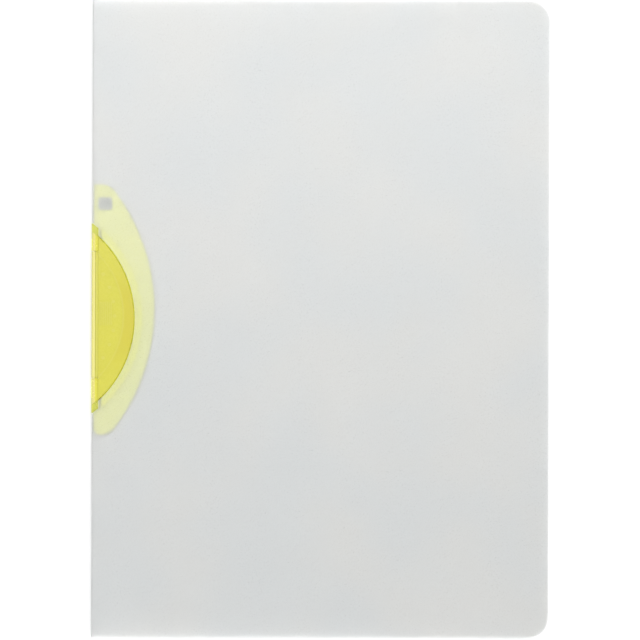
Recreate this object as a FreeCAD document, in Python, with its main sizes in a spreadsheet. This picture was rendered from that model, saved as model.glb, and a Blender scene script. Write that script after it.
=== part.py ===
import FreeCAD, Part
import math
import os

import Sketcher

# An A4 clip file. A folded sheet of translucent polypropylene makes the back cover, the spine
# and the front cover. A half-moon clip sits at mid-height of the spine: its base is riveted
# inside the back cover, and its wing swings out through a half-moon window in the front cover.
#
# Frame: the file lies closed on its back cover. +Z is up, +Y runs along the spine, and the
# spine is on the -X side. The origin is the middle of the outline, on the rest face.
# Inside each sketch, "across" is measured from the spine's outer face towards the fore edge.

DRIVING_SIZES = {
    # folded sheet
    "cover_width": 222.3,
    "cover_length": 310.0,
    "sheet_thick": 0.5,
    "file_height": 5.0,
    "fore_corner": 10.0,
    "fold_radius": 0.6,
    "crease_radius": 0.25,
    "crease_play": 0.05,
    "fore_edge_gap": 0.28,
    "spine_gap_half": 46.6,
    # half-moon window, an arc whose chord lies on the spine, with a slot for the base's end posts
    "window_radius": 54.5,
    "window_depth": 20.8,
    "slot_half": 46.3,
    "slot_width": 3.0,
    # barrel of the clip's hinge
    "barrel_radius": 2.15,
    "barrel_proud": 0.35,
    "barrel_height": 2.75,
    "bore_radius": 0.85,
    "pin_radius": 0.8,
    "pin_end": 41.5,
    "knuckle_upper": 32.6,
    "knuckle_lower": 29.0,
    "knuckle_gap": 0.2,
    # swinging wing
    "wing_gap": 0.4,
    "wing_top": 4.7,
    "wing_thick": 1.4,
    "wing_edge_round": 0.4,
    "root_gap": 0.15,
    "groove_start": 1.5,
    "groove_width": 0.3,
    "groove_depth": 0.3,
    "recess_depth": 0.3,
    "recess_start": 2.75,
    "recess_reach": 15.2,
    "recess_half": 30.2,
    "recess_middle": 1.2,
    "nub_radius": 0.85,
    "nub_height": 0.2,
    "nub_arc_radius": 40.0,
    "nub_arc_reach": 11.0,
    "nub_step": 10.2,
    "rib_start": 3.7,
    "rib_width": 0.4,
    "rib_pitch": 0.9,
    "rib_height": 0.12,
    "rib_half": 5.7,
    "rib_middle": 2.3,
    # fixed base
    "base_reach": 30.2,
    "base_radius": 95.5,
    "base_half": 61.0,
    "base_middle": 4.2,
    "base_corner": 9.0,
    "base_foot_corner": 3.5,
    "base_start": 0.8,
    "flange_thick": 1.0,
    "flange_edge_round": 0.4,
    "knuckle_clear": 4.2,
    "platform_start": 4.6,
    "platform_reach": 24.2,
    "platform_half": 47.2,
    "platform_top": 2.4,
    "ridge_width": 5.5,
    "ridge_top": 3.0,
    "post_top": 3.9,
    "post_length": 4.0,
    "post_gap": 0.3,
    # rivets
    "rivet_radius": 1.2,
    "rivet_play": 0.05,
    "rivet_head": 2.4,
    "rivet_head_thick": 0.3,
    "rivet_inner_across": 7.4,
    "rivet_inner_along": 24.0,
    "rivet_outer_across": 13.8,
    "rivet_outer_along": 10.0,
    # plain pad on the base
    "pad_across": 6.1,
    "pad_along": 55.9,
    "pad_width": 6.8,
    "pad_height": 6.1,
    "pad_corner": 1.2,
    "pad_thick": 0.2,
}
NUB_COUNT = 7
RIB_COUNT = 7
MINOR_GAP = 1.0  # how far a cutting outline runs past the solid that it cuts

doc = FreeCAD.newDocument("clip_file")
sheet = doc.addObject("Spreadsheet::Sheet", "Sizes")
for row, (alias, number) in enumerate(DRIVING_SIZES.items(), start=1):
    sheet.set(f"A{row}", alias.replace("_", " "))
    sheet.set(f"B{row}", str(number))
    sheet.setAlias(f"B{row}", alias)
doc.recompute()


class Size:
    """A number and the spreadsheet formula that gives it, so that both stay in step."""

    def __init__(self, value, formula=None):
        self.value = float(value)
        self.formula = formula or repr(float(value))

    def __add__(self, other):
        other = sized(other)
        return Size(self.value + other.value, f"({self.formula} + {other.formula})")

    def __sub__(self, other):
        other = sized(other)
        return Size(self.value - other.value, f"({self.formula} - {other.formula})")

    def __mul__(self, other):
        other = sized(other)
        return Size(self.value * other.value, f"({self.formula} * {other.formula})")

    def __truediv__(self, other):
        other = sized(other)
        return Size(self.value / other.value, f"({self.formula} / {other.formula})")

    def __neg__(self):
        return Size(-self.value, f"(-1 * {self.formula})")


def sized(thing):
    return thing if isinstance(thing, Size) else Size(thing)


def root(size):
    return Size(math.sqrt(size.value), f"sqrt({size.formula})")


def sine(degrees):
    return Size(math.sin(math.radians(degrees.value)), f"sin({degrees.formula} * 1deg)")


def cosine(degrees):
    return Size(math.cos(math.radians(degrees.value)), f"cos({degrees.formula} * 1deg)")


def of(alias):
    return Size(sheet.get(alias), f"Sizes.{alias}")


def bind(thing, name, size):
    thing.setExpression(name, sized(size).formula)


# Sizes that follow from the driving ones.
SPINE_FACE = -(of("cover_width") - of("barrel_proud")) / 2
REAR_CREASE = of("fold_radius") + of("crease_play") + of("crease_radius")
FRONT_CREASE = of("file_height") - REAR_CREASE
BARREL_ACROSS = of("barrel_radius") - of("barrel_proud")
WINDOW_CENTRE = of("window_depth") - of("window_radius")
WINDOW_HALF = root(of("window_radius") * of("window_radius") - WINDOW_CENTRE * WINDOW_CENTRE)
END_SLOPE = WINDOW_CENTRE / WINDOW_HALF  # the window's slope where it meets the spine


# ---------------------------------------------------------------- sketch and feature helpers


def new_body(name):
    body = doc.addObject("PartDesign::Body", name)
    body.Label = name
    bind(body, "Placement.Base.x", SPINE_FACE)
    return body


def new_sketch(body, name, plane="XY_Plane", offset=0.0):
    """A sketch on one of the body's own planes. XZ_Plane faces -Y, so its offset is -y."""
    sketch = body.newObject("Sketcher::SketchObject", f"{body.Name}_{name}")
    origin_plane = next(f for f in body.Origin.OriginFeatures if f.Role == plane)
    sketch.AttachmentSupport = (origin_plane, [""])
    sketch.MapMode = "FlatFace"
    bind(sketch, "AttachmentOffset.Base.z", offset)
    return sketch


def hold(sketch, kind, size, *where):
    index = sketch.addConstraint(Sketcher.Constraint(kind, *where, size.value))
    bind(sketch, f"Constraints[{index}]", size)


def short_arc(start, end, radius, turn):
    """The arc under half a circle from start to end: turn 1 is anticlockwise, -1 clockwise."""
    chord = end - start
    rise = math.sqrt(radius**2 - (chord.Length / 2) ** 2)
    left = FreeCAD.Vector(-chord.y, chord.x, 0).normalize()
    centre = (start + end) / 2 + left * rise * turn
    first, last = (start, end) if turn > 0 else (end, start)
    angles = [math.atan2(p.y - centre.y, p.x - centre.x) for p in (first, last)]
    circle = Part.Circle(centre, FreeCAD.Vector(0, 0, 1), radius)
    return Part.ArcOfCircle(circle, *angles)


def outline(sketch, corners):
    """A closed outline. Each corner is (across, up) or (across, up, radius, turn), where the
    last two make the run to the next corner an arc."""
    places = [(sized(c[0]), sized(c[1])) for c in corners]
    points = [FreeCAD.Vector(x.value, y.value, 0) for x, y in places]
    ends = []
    for number, corner in enumerate(corners):
        start, end = points[number], points[(number + 1) % len(points)]
        if len(corner) == 2:
            index = sketch.addGeometry(Part.LineSegment(start, end), False)
            ends.append((index, 1, 2))
        else:
            radius, turn = sized(corner[2]), corner[3]
            index = sketch.addGeometry(short_arc(start, end, radius.value, turn), False)
            ends.append((index, 1, 2) if turn > 0 else (index, 2, 1))
            hold(sketch, "Radius", radius, index)
    for number, (index, first, last) in enumerate(ends):
        following, following_first, _ = ends[(number + 1) % len(ends)]
        joint = (index, last, following, following_first)
        sketch.addConstraint(Sketcher.Constraint("Coincident", *joint))
        hold(sketch, "DistanceX", places[number][0], -1, 1, index, first)
        hold(sketch, "DistanceY", places[number][1], -1, 1, index, first)


def rectangle(sketch, low_across, low_up, high_across, high_up):
    lows, highs = (low_across, low_up), (high_across, high_up)
    outline(sketch, [lows, (highs[0], lows[1]), highs, (lows[0], highs[1])])


def ring(sketch, across, up, radius):
    across, up, radius = sized(across), sized(up), sized(radius)
    centre = FreeCAD.Vector(across.value, up.value, 0)
    circle = Part.Circle(centre, FreeCAD.Vector(0, 0, 1), radius.value)
    index = sketch.addGeometry(circle, False)
    hold(sketch, "Radius", radius, index)
    hold(sketch, "DistanceX", across, -1, 1, index, 3)
    hold(sketch, "DistanceY", up, -1, 1, index, 3)


def volume(body):
    doc.recompute()
    return body.Tip.Shape.Volume if body.Tip else 0.0


def pad(body, sketch, length, side="One side"):
    before = volume(body)
    feature = body.newObject("PartDesign::Pad", f"{sketch.Name}_pad")
    feature.Profile = sketch
    feature.SideType = side
    bind(feature, "Length", length)
    if volume(body) <= before:
        raise RuntimeError(f"{feature.Name} adds nothing")
    return feature


def pocket(body, sketch, length=None, side="One side", upward=False):
    """Cuts length deep below the sketch, or through everything when length is None."""
    before = volume(body)
    feature = body.newObject("PartDesign::Pocket", f"{sketch.Name}_pocket")
    feature.Profile = sketch
    feature.SideType = side
    feature.Reversed = upward
    if length is None:
        feature.Type = "ThroughAll"
    else:
        bind(feature, "Length", length)
    if volume(body) >= before:
        raise RuntimeError(f"{feature.Name} cuts nothing")
    return feature


def round_edges(body, name, radius, wanted):
    """Rounds the edges of the body's tip for which wanted(edge) is true."""
    doc.recompute()
    tip = body.Tip
    names = [f"Edge{n}" for n, edge in enumerate(tip.Shape.Edges, start=1) if wanted(edge)]
    if not names:
        raise RuntimeError(f"{name} found no edge")
    fillet = body.newObject("PartDesign::Fillet", f"{body.Name}_{name}")
    fillet.Base = (tip, names)
    bind(fillet, "Radius", radius)
    doc.recompute()


def level_arc(height, radius):
    """A test for an edge that is an arc of this radius lying flat at this height."""

    def wanted(edge):
        flat = edge.BoundBox.ZLength < 1e-6 and abs(edge.BoundBox.ZMin - height) < 1e-6
        round_edge = isinstance(edge.Curve, Part.Circle)
        return flat and round_edge and abs(edge.Curve.Radius - radius) < 1e-6

    return wanted


def upright_at(places):
    """A test for a vertical edge that stands at one of these (across, along) places."""

    def wanted(edge):
        box = edge.BoundBox
        stands = box.XLength < 1e-6 and box.YLength < 1e-6
        return stands and any(
            abs(box.XMin - x.value) < 1e-3 and abs(box.YMin - y.value) < 1e-3 for x, y in places
        )

    return wanted


def half_chord(start, centre, radius):
    """Half the length of the chord that stands at start, in a circle about centre."""
    return root(radius * radius - (start - centre) * (start - centre))


def segment(sketch, start, reach, radius, middle=0.0):
    """A half-moon: a chord at start and an arc of this radius that reaches this far across."""
    rise = half_chord(start, reach - radius, radius)
    middle = sized(middle)
    outline(sketch, [(start, middle - rise, radius, 1), (start, middle + rise)])


def crescent(sketch, start, reach, radius, width):
    """The outer band of a half-moon, this wide, with both ends on its chord."""
    centre, inner = reach - radius, radius - width
    outer_rise, inner_rise = half_chord(start, centre, radius), half_chord(start, centre, inner)
    corners = [
        (start, -outer_rise, radius, 1),
        (start, outer_rise),
        (start, inner_rise, inner, -1),
        (start, -inner_rise),
    ]
    outline(sketch, corners)


# ---------------------------------------------------------------- the folded sheet


def cover_panel(body, start, end, base):
    """The flat panel of a cover, with its two rounded corners at the fore edge."""
    half, corner = of("cover_length") / 2, of("fore_corner")
    sketch = new_sketch(body, "panel", offset=base)
    outline(
        sketch,
        [
            (start, -half),
            (end - corner, -half, corner, 1),
            (end, corner - half),
            (end, half - corner, corner, 1),
            (end - corner, half),
            (start, half),
        ],
    )
    pad(body, sketch, of("sheet_thick"))


def make_back_cover():
    body = new_body("back_cover")
    thick, fold = of("sheet_thick"), of("fold_radius")
    cover_panel(body, fold, of("cover_width"), 0.0)
    shoulder = new_sketch(body, "shoulder", "XZ_Plane")
    outline(
        shoulder,
        [(fold, 0.0, fold, -1), (0.0, fold), (thick, fold, fold - thick, 1), (fold, thick)],
    )
    pad(body, shoulder, of("cover_length"), side="Symmetric")
    notch = new_sketch(body, "notch")
    half = of("spine_gap_half")
    rectangle(notch, -MINOR_GAP, -half, fold, half)
    pocket(body, notch, side="Symmetric")
    holes = new_sketch(body, "rivet_holes")
    for across, along in rivet_places():
        ring(holes, across, along, of("rivet_radius") + of("rivet_play"))
    pocket(body, holes, side="Symmetric")
    seats = new_sketch(body, "rivet_seats")
    for across, along in rivet_places():
        ring(seats, across, along, of("rivet_head") + of("rivet_play"))
    pocket(body, seats, (of("rivet_head_thick") + of("rivet_play")) * 2, side="Symmetric")
    return body


def make_front_cover():
    """Drawn level about its own crease, then tilted down until it nearly meets the back."""
    body = new_body("front_cover")
    thick, fold, crease = of("sheet_thick"), of("fold_radius"), of("crease_radius")
    lift = of("crease_play") + crease
    start, end = fold - crease, of("cover_width") - crease
    under = lift + fold - thick
    cover_panel(body, start, end, under)
    shoulder = new_sketch(body, "shoulder", "XZ_Plane")
    outline(
        shoulder,
        [
            (start, lift + fold, fold, 1),
            (-crease, lift),
            (thick - crease, lift, fold - thick, -1),
            (start, under),
        ],
    )
    pad(body, shoulder, of("cover_length"), side="Symmetric")
    window = new_sketch(body, "window")
    ring(window, WINDOW_CENTRE - crease, 0.0, of("window_radius"))
    pocket(body, window, side="Symmetric")
    slot = new_sketch(body, "slot")
    near, far = sized(-MINOR_GAP), of("slot_width")
    near_half, far_half = end_line(near, 0.0), end_line(far, 0.0)
    left, right = near - crease, far - crease
    outline(slot, [(left, -near_half), (right, -far_half), (right, far_half), (left, near_half)])
    pocket(body, slot, side="Symmetric")
    drop = of("file_height") - of("sheet_thick") * 2 - of("fore_edge_gap")
    tilt = Size(math.degrees(math.asin((drop / end).value)), f"asin({(drop / end).formula})")
    upright = FreeCAD.Rotation(FreeCAD.Vector(0, 1, 0), tilt.value)
    body.Placement = FreeCAD.Placement(FreeCAD.Vector(), upright)
    bind(body, "Placement.Base.x", SPINE_FACE + crease)
    bind(body, "Placement.Base.z", FRONT_CREASE)
    bind(body, "Placement.Rotation.Angle", tilt)
    return body


def along_spine(side):
    """Where a spine piece starts and how long it is; side is 1 above the clip, -1 below."""
    gap, half = of("spine_gap_half"), of("cover_length") / 2
    return (gap if side > 0 else -half), half - gap


def make_crease(name, height, side):
    rod = doc.addObject("Part::Cylinder", name)
    start, length = along_spine(side)
    rod.Placement.Rotation = FreeCAD.Rotation(FreeCAD.Vector(1, 0, 0), -90)
    bind(rod, "Radius", of("crease_radius"))
    bind(rod, "Height", length)
    bind(rod, "Placement.Base.x", SPINE_FACE + of("crease_radius"))
    bind(rod, "Placement.Base.y", start)
    bind(rod, "Placement.Base.z", height)
    return rod


def make_spine_strip(name, side):
    strip = doc.addObject("Part::Box", name)
    start, length = along_spine(side)
    edge = of("crease_radius") + of("crease_play")
    bind(strip, "Length", of("sheet_thick"))
    bind(strip, "Width", length)
    bind(strip, "Height", FRONT_CREASE - REAR_CREASE - edge * 2)
    bind(strip, "Placement.Base.x", SPINE_FACE)
    bind(strip, "Placement.Base.y", start)
    bind(strip, "Placement.Base.z", REAR_CREASE + edge)
    return strip


# ---------------------------------------------------------------- the clip


def rivet_places():
    inner = of("rivet_inner_across"), of("rivet_inner_along")
    outer = of("rivet_outer_across"), of("rivet_outer_along")
    return [(across, along * side) for across, along in (inner, outer) for side in (1, -1)]


def along_stretch(side):
    """Where an end knuckle starts and stops along the spine, low end first."""
    gap = of("knuckle_gap")
    if side > 0:
        return of("knuckle_upper") + gap, of("slot_half")
    return -of("slot_half"), -of("knuckle_lower") - gap


def end_line(across, inset):
    """How far along the spine the slope at the slot's end lies at this place, less inset."""
    return of("slot_half") + END_SLOPE * across - inset


def end_cut(body, name, side, height, inset, **how):
    """Cuts away what lies beyond the slanted end line, on one side of the middle."""
    near, far = -of("barrel_radius"), of("knuckle_clear")
    beyond = end_line(near, inset) + of("barrel_radius") * 2
    sketch = new_sketch(body, name, offset=height)
    corners = [
        (near, end_line(near, inset) * side),
        (far, end_line(far, inset) * side),
        (far, beyond * side),
        (near, beyond * side),
    ]
    outline(sketch, corners if side > 0 else corners[::-1])
    pocket(body, sketch, **how)


def make_clip_base():
    body = new_body("clip_base")
    floor, start = of("sheet_thick"), of("base_start")
    top = floor + of("flange_thick")
    radius, middle, half = of("base_radius"), of("base_middle"), of("base_half")
    centre = of("base_reach") - radius
    far = centre + root(radius * radius - half * half)
    flange = new_sketch(body, "flange", offset=floor)
    low, high = middle - half, middle + half
    outline(flange, [(start, low), (far, low, radius, 1), (far, high), (start, high)])
    pad(body, flange, of("flange_thick"))
    tips = [(far, low), (far, high)]
    round_edges(body, "tips", of("base_corner"), upright_at(tips))
    round_edges(body, "foot_corner", of("base_foot_corner"), upright_at([(start, low)]))
    round_edges(body, "rim", of("flange_edge_round"), level_arc(top.value, radius.value))

    reach, rise = of("platform_reach"), of("platform_half")
    arc = (reach * reach + rise * rise) / (reach * 2)
    platform = new_sketch(body, "platform", offset=top)
    segment(platform, of("platform_start"), reach, arc)
    pad(body, platform, of("platform_top") - top)
    ridge = new_sketch(body, "ridge", offset=of("platform_top"))
    crescent(ridge, of("platform_start"), reach, arc, of("ridge_width"))
    pad(body, ridge, of("ridge_top") - of("platform_top"))

    notch = new_sketch(body, "knuckle_notch")
    low, high = -of("knuckle_lower") - of("knuckle_gap"), of("knuckle_upper") + of("knuckle_gap")
    rectangle(notch, 0.0, low, of("knuckle_clear"), high)
    pocket(body, notch, side="Symmetric")

    for side, name in ((1, "upper"), (-1, "lower")):
        low, high = along_stretch(side)
        knuckle = new_sketch(body, f"{name}_knuckle", "XZ_Plane", -high)
        ring(knuckle, BARREL_ACROSS, of("barrel_height"), of("barrel_radius"))
        pad(body, knuckle, high - low)
        foot = new_sketch(body, f"{name}_foot", "XZ_Plane", -high)
        right = BARREL_ACROSS + of("barrel_radius")
        rectangle(foot, start, floor, right, of("barrel_height"))
        pad(body, foot, high - low)
        inset = of("post_gap") + of("post_length")
        end_cut(body, f"{name}_post", side, of("post_top"), inset, upward=True)
        end_cut(body, f"{name}_end", side, top, of("post_gap"), upward=True)

    bore = new_sketch(body, "bore", "XZ_Plane")
    ring(bore, BARREL_ACROSS, of("barrel_height"), of("bore_radius"))
    pocket(body, bore, side="Symmetric")

    holes = new_sketch(body, "rivet_holes", offset=floor)
    seats = new_sketch(body, "rivet_seats", offset=of("platform_top"))
    for across, along in rivet_places():
        ring(holes, across, along, of("rivet_radius") + of("rivet_play"))
        ring(seats, across, along, of("rivet_head") + of("rivet_play"))
    pocket(body, holes, side="Symmetric")
    pocket(body, seats, of("rivet_head_thick") + of("rivet_play"))
    return body


def make_swing_wing():
    body = new_body("swing_wing")
    top, across = of("wing_top"), BARREL_ACROSS
    under = top - of("wing_thick")
    radius = of("window_radius") - of("wing_gap")
    plate = new_sketch(body, "plate", offset=under)
    segment(plate, across, of("window_depth") - of("wing_gap"), radius)
    pad(body, plate, of("wing_thick"))
    round_edges(body, "rim", of("wing_edge_round"), level_arc(top.value, radius.value))

    swept = of("barrel_radius") + of("root_gap")
    root_cut = new_sketch(body, "root", "XZ_Plane")
    ring(root_cut, across, of("barrel_height"), swept)
    pocket(body, root_cut, side="Symmetric")
    low, high = -of("knuckle_lower"), of("knuckle_upper")
    knuckle = new_sketch(body, "knuckle", "XZ_Plane", -high)
    ring(knuckle, across, of("barrel_height"), of("barrel_radius"))
    pad(body, knuckle, high - low)
    web = new_sketch(body, "web", "XZ_Plane", -high)
    rectangle(web, across, under, across + swept, top)
    pad(body, web, high - low)
    bore = new_sketch(body, "bore", "XZ_Plane")
    ring(bore, across, of("barrel_height"), of("bore_radius"))
    pocket(body, bore, side="Symmetric")

    groove = new_sketch(body, "groove", offset=of("file_height"))
    end = of("groove_start") + of("groove_width")
    rectangle(groove, of("groove_start"), low, end, high)
    pocket(body, groove, of("file_height") - top + of("groove_depth"))

    recess = new_sketch(body, "recess", offset=top)
    start = of("recess_start")
    reach, half = of("recess_reach") - start, of("recess_half")
    arc = (reach * reach + half * half) / (reach * 2)
    segment(recess, start, of("recess_reach"), arc, of("recess_middle"))
    pocket(body, recess, of("recess_depth"))

    floor = top - of("recess_depth")
    nubs = new_sketch(body, "nubs", offset=floor)
    centre = of("nub_arc_reach") - of("nub_arc_radius")
    for number in range(NUB_COUNT):
        angle = of("nub_step") * (number - (NUB_COUNT - 1) / 2)
        along = of("nub_arc_radius") * sine(angle) + of("recess_middle")
        ring(nubs, centre + of("nub_arc_radius") * cosine(angle), along, of("nub_radius"))
    pad(body, nubs, of("nub_height"))
    ribs = new_sketch(body, "ribs", offset=floor)
    low, high = of("rib_middle") - of("rib_half"), of("rib_middle") + of("rib_half")
    for number in range(RIB_COUNT):
        left = of("rib_start") + of("rib_pitch") * number
        rectangle(ribs, left, low, left + of("rib_width"), high)
    pad(body, ribs, of("rib_height"))
    return body


def make_hinge_pin():
    pin = doc.addObject("Part::Cylinder", "hinge_pin")
    pin.Placement.Rotation = FreeCAD.Rotation(FreeCAD.Vector(1, 0, 0), -90)
    bind(pin, "Radius", of("pin_radius"))
    bind(pin, "Height", of("pin_end") * 2)
    bind(pin, "Placement.Base.x", SPINE_FACE + BARREL_ACROSS)
    bind(pin, "Placement.Base.y", -of("pin_end"))
    bind(pin, "Placement.Base.z", of("barrel_height"))
    return pin


def make_rivet(number, across, along):
    """A shank with a flush head under the back cover and one sunk in the base's platform."""
    head, thick = of("rivet_head"), of("rivet_head_thick")
    top = of("platform_top")
    stretches = [(head, 0.0, thick), (of("rivet_radius"), 0.0, top - thick), (head, top - thick, top)]
    pieces = []
    for place, (radius, low, high) in enumerate(stretches):
        piece = doc.addObject("Part::Cylinder", f"rivet_{number}_{place}")
        bind(piece, "Radius", radius)
        bind(piece, "Height", sized(high) - low)
        bind(piece, "Placement.Base.x", SPINE_FACE + across)
        bind(piece, "Placement.Base.y", along)
        bind(piece, "Placement.Base.z", low)
        pieces.append(piece)
    rivet = doc.addObject("Part::MultiFuse", f"rivet_{number}")
    rivet.Shapes = pieces
    return rivet


def make_clip_rivets():
    group = doc.addObject("Part::Compound", "clip_rivets")
    group.Links = [make_rivet(n, *place) for n, place in enumerate(rivet_places(), start=1)]
    return group


def make_mark_pad():
    body = new_body("mark_pad")
    sketch = new_sketch(body, "face", offset=of("sheet_thick") + of("flange_thick"))
    across, along = of("pad_across"), of("pad_along")
    wide, tall = of("pad_width") / 2, of("pad_height") / 2
    rectangle(sketch, across - wide, along - tall, across + wide, along + tall)
    pad(body, sketch, of("pad_thick"))
    corners = [(across + wide * i, along + tall * j) for i in (-1, 1) for j in (-1, 1)]
    round_edges(body, "corners", of("pad_corner"), upright_at(corners))
    return body


def check(part):
    """Stops unless the part and all that it is made from came out whole."""
    for thing in [part, *part.OutListRecursive]:
        if "Invalid" in thing.State or "Error" in thing.State:
            raise RuntimeError(f"{thing.Name} failed: {thing.State}")
    if part.Shape.isNull() or not part.Shape.isValid():
        raise RuntimeError(f"{part.Name} has no valid shape")


parts = [
    make_back_cover(),
    make_front_cover(),
    make_clip_base(),
    make_swing_wing(),
    make_hinge_pin(),
    make_clip_rivets(),
    make_mark_pad(),
]
for side, end in ((1, "upper"), (-1, "lower")):
    parts.append(make_spine_strip(f"spine_strip_{end}", side))
    parts.append(make_crease(f"rear_crease_{end}", REAR_CREASE, side))
    parts.append(make_crease(f"front_crease_{end}", FRONT_CREASE, side))
doc.recompute()

os.makedirs("parts", exist_ok=True)
for part in parts:
    part.Label = part.Name
    check(part)
    part.Shape.exportStep(os.path.join("parts", f"{part.Label}.step"))
    solids, cubic_mm = len(part.Shape.Solids), round(part.Shape.Volume, 1)
    print(part.Label, solids, cubic_mm, part.Shape.optimalBoundingBox())
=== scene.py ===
import math

import bpy
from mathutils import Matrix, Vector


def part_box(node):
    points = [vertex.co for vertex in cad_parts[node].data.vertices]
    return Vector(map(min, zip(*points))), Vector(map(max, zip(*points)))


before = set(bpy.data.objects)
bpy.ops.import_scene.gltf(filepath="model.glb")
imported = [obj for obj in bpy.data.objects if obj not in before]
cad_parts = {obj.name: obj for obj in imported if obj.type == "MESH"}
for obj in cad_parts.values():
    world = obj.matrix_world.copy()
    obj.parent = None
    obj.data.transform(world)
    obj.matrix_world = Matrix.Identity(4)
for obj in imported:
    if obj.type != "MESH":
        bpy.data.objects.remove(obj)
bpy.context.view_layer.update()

MM = 0.001

# Places on the clip, worked out from the CAD nodes' own boxes.
BACK_LOW, BACK_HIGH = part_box("back_cover")
BARREL_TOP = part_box("swing_wing")[1].z
WING_TOP = BARREL_TOP - 0.2 * MM
BASE_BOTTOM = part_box("clip_base")[0].z
SPINE_X = BACK_LOW.x
GROOVE_X = SPINE_X + 1.5 * MM
POST_TOP = 3.9 * MM
POST_X = SPINE_X + 4.0 * MM
POST_Y = 38.5 * MM
FLANGE_TOP = BASE_BOTTOM + 1.0 * MM
PLATFORM_TOP = BASE_BOTTOM + 1.9 * MM
RECESS_FLOOR = WING_TOP - 0.3 * MM
RECESS_RADIUS = 42.85 * MM
RECESS_CENTRE_X = SPINE_X + 15.2 * MM - RECESS_RADIUS
RECESS_Y = 1.2 * MM


def linear(red, green, blue):
    """An sRGB colour, 0 to 255, as the linear RGBA that shaders take."""

    def one(value):
        share = value / 255
        return share / 12.92 if share <= 0.04045 else ((share + 0.055) / 1.055) ** 2.4

    return (one(red), one(green), one(blue), 1.0)


# ---------------------------------------------------------------- materials

# Where a Mix node keeps its colour sockets, which share their names with the other kinds.
MIX_FIRST, MIX_SECOND, MIX_RESULT = 6, 7, 2


class Material:
    """A Principled material with helpers that add nodes to it."""

    def __init__(self, name, **sockets):
        self.data = bpy.data.materials.new(name)
        self.data.use_nodes = True
        self.tree = self.data.node_tree
        self.surface = self.tree.nodes["Principled BSDF"]
        for socket, value in sockets.items():
            self.surface.inputs[socket.replace("_", " ")].default_value = value
        self.place = self.add("ShaderNodeTexCoord").outputs["Object"]

    def add(self, kind, settings=(), **inputs):
        node = self.tree.nodes.new(kind)
        for name, value in dict(settings).items():
            setattr(node, name, value)
        for name, value in inputs.items():
            self.feed(node.inputs[name.replace("_", " ")], value)
        return node

    def feed(self, socket, value):
        if isinstance(value, bpy.types.NodeSocket):
            self.tree.links.new(value, socket)
        else:
            socket.default_value = value

    def math(self, operation, first, second=0.0):
        node = self.add("ShaderNodeMath", {"operation": operation})
        self.feed(node.inputs[0], first)
        self.feed(node.inputs[1], second)
        return node.outputs[0]

    def noise(self, scale, detail=3.0, roughness=0.5):
        settings = {"Scale": scale, "Detail": detail, "Roughness": roughness}
        return self.add("ShaderNodeTexNoise", Vector=self.place, **settings).outputs["Fac"]

    def ranged(self, value, low, high, start, end, smooth=True):
        """value mapped from low..high to start..end, held at the ends."""
        kind = "SMOOTHSTEP" if smooth else "LINEAR"
        node = self.add("ShaderNodeMapRange", {"interpolation_type": kind}, Value=value)
        for name, number in zip(("From Min", "From Max", "To Min", "To Max"), (low, high, start, end)):
            self.feed(node.inputs[name], number)
        return node.outputs["Result"]

    def mix(self, share, first, second):
        node = self.add("ShaderNodeMix", {"data_type": "RGBA"})
        self.feed(node.inputs["Factor"], share)
        self.feed(node.inputs[MIX_FIRST], first)
        self.feed(node.inputs[MIX_SECOND], second)
        return node.outputs[MIX_RESULT]

    def axis(self, letter):
        return self.add("ShaderNodeSeparateXYZ", Vector=self.place).outputs[letter]

    def distance(self, x, y):
        """Distance from an upright line at x, y."""
        flat = self.add("ShaderNodeCombineXYZ", X=self.axis("X"), Y=self.axis("Y")).outputs[0]
        node = self.add("ShaderNodeVectorMath", {"operation": "DISTANCE"})
        self.feed(node.inputs[0], flat)
        self.feed(node.inputs[1], (x, y, 0.0))
        return node.outputs["Value"]

    def above_posts(self):
        """1 on the upper part of the clip, above its end posts, and 0 below."""
        return self.ranged(self.axis("Z"), POST_TOP + 0.05 * MM, POST_TOP + 0.3 * MM, 0.0, 1.0)

    def painted_barrel_highlight(self):
        """1 on top of the clip's barrel, outside the groove, where a highlight is painted, and 0
        elsewhere.
        """
        outside = self.ranged(self.axis("X"), GROOVE_X - 0.2 * MM, GROOVE_X + 0.2 * MM, 1.0, 0.0)
        return self.math("MULTIPLY", outside, self.above_posts())

    def pass_lamp_light(self, share, tint):
        """Lets this share of the lamps' light straight through, as a thin sheet does."""
        lamp_ray = self.add("ShaderNodeLightPath").outputs["Is Shadow Ray"]
        clear = self.add("ShaderNodeBsdfTransparent", Color=tint)
        mixed = self.add("ShaderNodeMixShader", Fac=self.math("MULTIPLY", lamp_ray, share))
        self.feed(mixed.inputs[1], self.surface.outputs[0])
        self.feed(mixed.inputs[2], clear.outputs[0])
        self.feed(self.tree.nodes["Material Output"].inputs["Surface"], mixed.outputs[0])

    def bump(self, height, strength, depth):
        node = self.add("ShaderNodeBump", Height=height, Strength=strength, Distance=depth)
        self.feed(self.surface.inputs["Normal"], node.outputs["Normal"])


def frosted_sheet():
    """Translucent polypropylene sheet with a fine frosted grain on both faces."""
    made = Material("frosted_sheet", IOR=1.49, Transmission_Weight=0.88)
    cloud = made.noise(18.0)
    grain = made.noise(2600.0, detail=4.0, roughness=0.65)
    tone = made.mix(made.ranged(cloud, 0.35, 0.65, 0.0, 1.0), linear(247, 248, 248), linear(249, 249, 248))
    made.feed(made.surface.inputs["Base Color"], tone)
    made.feed(made.surface.inputs["Roughness"], made.ranged(grain, 0.3, 0.7, 0.26, 0.34))
    made.bump(grain, 0.12, 0.00004)
    made.pass_lamp_light(0.75, linear(245, 246, 246))
    return made.data


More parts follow.
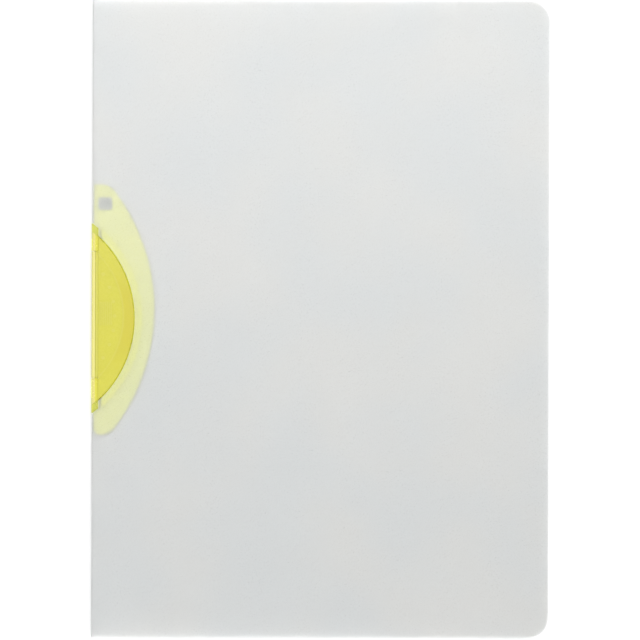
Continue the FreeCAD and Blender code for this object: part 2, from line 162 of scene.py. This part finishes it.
def clip_base_plastic():
    """Translucent yellow plastic, deeper in colour where the base is thicker, with painted shade on the
    end posts and a painted highlight along the top of the barrel.
    """
    made = Material("clip_base_plastic", IOR=1.5, Transmission_Weight=0.25)
    height = made.ranged(made.axis("Z"), FLANGE_TOP, PLATFORM_TOP, 0.0, 1.0)
    tone = made.mix(height, linear(243, 246, 138), linear(246, 248, 54))
    # Painted shade: the end posts, low beside the barrel ends, are darkened olive to stand in for the
    # shadow they lie in.
    ends = made.ranged(made.math("ABSOLUTE", made.axis("Y")), POST_Y, POST_Y + 0.5 * MM, 0.0, 1.0)
    raised = made.ranged(made.axis("Z"), FLANGE_TOP + 0.1 * MM, FLANGE_TOP + 0.3 * MM, 0.0, 1.0)
    beside = made.ranged(made.axis("X"), POST_X, POST_X + 0.1 * MM, 1.0, 0.0)
    posts = made.math("MULTIPLY", made.math("MULTIPLY", ends, raised), beside)
    tone = made.mix(posts, tone, linear(211, 213, 86))
    tone = made.mix(made.above_posts(), tone, linear(222, 217, 72))
    # Painted highlight: the top of the barrel is paler to stand in for the light it catches.
    tone = made.mix(made.painted_barrel_highlight(), tone, linear(237, 227, 133))
    made.feed(made.surface.inputs["Base Color"], tone)
    grain = made.noise(900.0)
    made.feed(made.surface.inputs["Roughness"], made.ranged(grain, 0.3, 0.7, 0.18, 0.28))
    made.bump(grain, 0.05, 0.00003)
    made.pass_lamp_light(0.3, linear(250, 245, 120))
    return made.data


def clip_wing_plastic():
    """The same plastic, with a painted highlight along the barrel, on the nubs and ribs and on the rim
    of the thumb recess. It is deeper in the crescent beyond the recess, where the plate is thicker,
    and painted shade darkens the crescent towards mid-height."""
    made = Material("clip_wing_plastic", IOR=1.5, Transmission_Weight=0.35, Coat_Weight=0.3)
    grain = made.noise(1200.0)
    tone = made.mix(made.ranged(grain, 0.3, 0.7, 0.0, 1.0), linear(222, 217, 70), linear(226, 221, 77))
    recess = made.distance(RECESS_CENTRE_X, RECESS_Y)
    # Painted shade, partly for the thicker plate: the crescent beyond the thumb recess is darker towards
    # mid-height, where its slope turns away from the light.
    beyond = made.ranged(recess, RECESS_RADIUS - 1.0 * MM, RECESS_RADIUS + 1.5 * MM, 0.0, 1.0)
    middle = made.ranged(made.math("ABSOLUTE", made.axis("Y")), 8.0 * MM, 30.0 * MM, 1.0, 0.0)
    tone = made.mix(made.math("MULTIPLY", beyond, middle), tone, linear(220, 210, 62))
    # Painted highlight: a thin pale line along the rim of the thumb recess.
    rim = made.math("SUBTRACT", recess, RECESS_RADIUS)
    line = made.ranged(made.math("ABSOLUTE", rim), 0.1 * MM, 0.6 * MM, 0.12, 0.0)
    tone = made.mix(line, tone, linear(248, 244, 150))
    # Painted highlight: the nubs and ribs standing above the recess floor, inside its rim, are paler.
    raised = made.ranged(made.axis("Z"), RECESS_FLOOR + 0.03 * MM, RECESS_FLOOR + 0.1 * MM, 0.0, 0.12)
    inside = made.ranged(rim, -0.6 * MM, -0.4 * MM, 1.0, 0.0)
    tone = made.mix(made.math("MULTIPLY", raised, inside), tone, linear(250, 248, 170))
    # Painted highlight: the top of the barrel is paler to stand in for the light it catches.
    tone = made.mix(made.painted_barrel_highlight(), tone, linear(252, 244, 150))
    made.feed(made.surface.inputs["Base Color"], tone)
    made.feed(made.surface.inputs["Roughness"], made.ranged(grain, 0.3, 0.7, 0.14, 0.22))
    made.bump(grain, 0.05, 0.00003)
    made.pass_lamp_light(0.3, linear(250, 245, 120))
    return made.data


def grey_mark():
    """Matt grey ink."""
    made = Material("grey_mark")
    grain = made.noise(1500.0)
    tone = made.mix(made.ranged(grain, 0.3, 0.7, 0.0, 1.0), linear(152, 155, 150), linear(164, 167, 162))
    made.feed(made.surface.inputs["Base Color"], tone)
    made.feed(made.surface.inputs["Roughness"], made.ranged(grain, 0.3, 0.7, 0.5, 0.65))
    made.bump(grain, 0.1, 0.00003)
    return made.data


def dress(names, material):
    """Gives these CAD nodes one material."""
    for name in names:
        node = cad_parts[name]
        node.data.materials.clear()
        node.data.materials.append(material)


# ---------------------------------------------------------------- studio

FLOOR_DROP = 0.2 * MM
CAMERA_HEIGHT = 3.0
SEEN_WIDTH = 311.94 * MM
SENSOR_WIDTH = 36.0
CAMERA_ROLL = math.radians(0.18)


def studio():
    """A white floor just under the file, an even white sky, and two soft lamps."""
    bpy.context.scene.view_settings.view_transform = "Standard"
    bpy.ops.mesh.primitive_plane_add(size=6.0)
    floor = bpy.context.object
    floor.name = "studio_floor"
    made = Material("studio_floor", Roughness=0.9)
    tone = made.mix(made.noise(3.0), (0.93, 0.93, 0.93, 1), (0.95, 0.95, 0.95, 1))
    made.feed(made.surface.inputs["Base Color"], tone)
    floor.data.materials.append(made.data)
    floor.location.z = -FLOOR_DROP
    world = bpy.data.worlds.new("studio_world")
    bpy.context.scene.world = world
    world.use_nodes = True
    background = world.node_tree.nodes["Background"]
    background.inputs["Color"].default_value = (1.0, 1.0, 1.0, 1.0)
    background.inputs["Strength"].default_value = 1.0
    softbox("key", (0.0, 0.55, 1.3), size=1.0, power=7.0)
    softbox("fill", (0.0, -0.75, 1.2), size=0.8, power=1.7)


def softbox(name, place, size, power):
    """A square lamp that faces the middle of the file."""
    lamp = bpy.data.lights.new(name, "AREA")
    lamp.size = size
    lamp.energy = power
    holder = bpy.data.objects.new(name, lamp)
    holder.location = place
    aim = -holder.location
    holder.rotation_euler = aim.to_track_quat("-Z", "Y").to_euler()
    bpy.context.scene.collection.objects.link(holder)


def camera():
    """Straight above the file, from far enough away to look almost without perspective."""
    data = bpy.data.cameras.new("camera")
    data.sensor_width = SENSOR_WIDTH
    data.lens = SENSOR_WIDTH * CAMERA_HEIGHT / SEEN_WIDTH
    data.clip_end = 20.0
    holder = bpy.data.objects.new("camera", data)
    middle = (BACK_LOW + BACK_HIGH) / 2
    holder.location = (middle.x - 0.21 * MM, middle.y - 0.48 * MM, CAMERA_HEIGHT)
    holder.rotation_euler = (0.0, 0.0, CAMERA_ROLL)
    bpy.context.scene.collection.objects.link(holder)
    bpy.context.scene.camera = holder


sheet_nodes = [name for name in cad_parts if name.split("_")[-1] in ("cover", "upper", "lower")]
dress(sheet_nodes, frosted_sheet())
dress(["clip_base", "clip_rivets", "hinge_pin"], clip_base_plastic())
dress(["swing_wing"], clip_wing_plastic())
dress(["mark_pad"], grey_mark())
studio()
camera()
